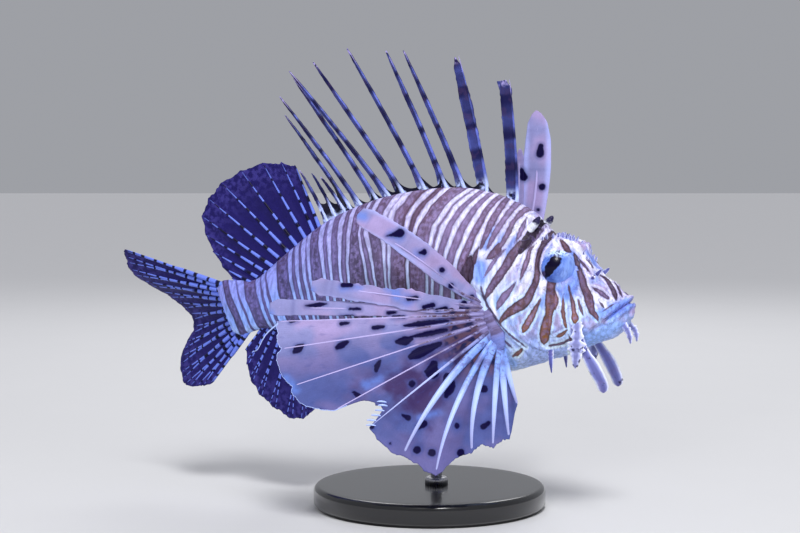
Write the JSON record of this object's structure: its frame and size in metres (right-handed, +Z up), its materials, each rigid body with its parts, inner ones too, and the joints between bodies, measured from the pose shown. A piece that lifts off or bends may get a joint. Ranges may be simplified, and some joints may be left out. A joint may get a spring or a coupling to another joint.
{
  "type": "red lionfish model",
  "caption": "Life-size red lionfish model, fins spread, banded body and long dorsal spines, held by a rod on a round display base.",
  "frame": {"origin": "centre of the underside of the round stand base", "axes": "+X to the fish's snout, +Y to its left side, +Z up"},
  "size_m": [0.3003, 0.1497, 0.2454],
  "materials": {
    "skin": "moist scaled skin in lavender white with mauve brown bands",
    "eye": "polished glass eye, pale blue iris and black pupil",
    "spine": "satin spines banded pale lavender and dark violet",
    "dark_fin": "satin blue violet membrane with pale dashed rays and dark dots",
    "pale_fin": "satin translucent lavender membrane with black spots",
    "stand_base": "black lacquered turned wood, satin",
    "stand_rod": "fine brushed steel rod"
  },
  "bodies": {
    "root": {"head": "skin", "lower_jaw": "skin", "trunk": "skin", "tail_stock": "skin", "eye_right": "eye", "eye_left": "eye", "spiny_dorsal_fin": "spine", "soft_dorsal_fin": "dark_fin", "caudal_fin": "dark_fin", "anal_fin": "dark_fin", "pectoral_fin_right": "pale_fin", "pectoral_fin_left": "pale_fin", "pelvic_fin_right": "dark_fin", "pelvic_fin_left": "dark_fin", "stand_base": "stand_base", "stand_rod": "stand_rod"}
  },
  "joints": []
}
